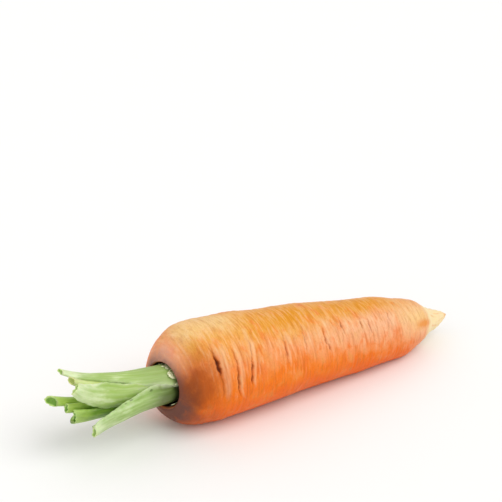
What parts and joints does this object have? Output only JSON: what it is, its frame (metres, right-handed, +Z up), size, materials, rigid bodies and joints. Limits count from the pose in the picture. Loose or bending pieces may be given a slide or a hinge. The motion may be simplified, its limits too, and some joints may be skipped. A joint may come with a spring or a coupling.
{
  "type": "carrot",
  "caption": "Plump, blunt carrot root lying on its side, with a pale tip nub and short cut green leaf stalks standing in a pit in its crown.",
  "frame": {"origin": "middle of the whole object's box in X and Y, at the height of the surface it lies on", "axes": "+X along the root from its crown to its tip, +Z up, +Y to the left when looking along +X"},
  "size_m": [0.2136, 0.0466, 0.0459],
  "materials": {
    "root_skin": "damp satin vegetable skin, orange with amber and salmon bands",
    "stalk_pale": "satin pale green ribbed leaf stalk",
    "stalk_green": "satin mid green ribbed leaf stalk"
  },
  "bodies": {
    "root": {"root": "root_skin", "stalk_top": "stalk_pale", "stalk_inner": "stalk_pale", "stalk_broad": "stalk_pale", "stalk_side": "stalk_pale", "stalk_back": "stalk_pale", "stalk_long": "stalk_green", "stalk_core": "stalk_green", "stalk_under": "stalk_green"}
  },
  "joints": []
}
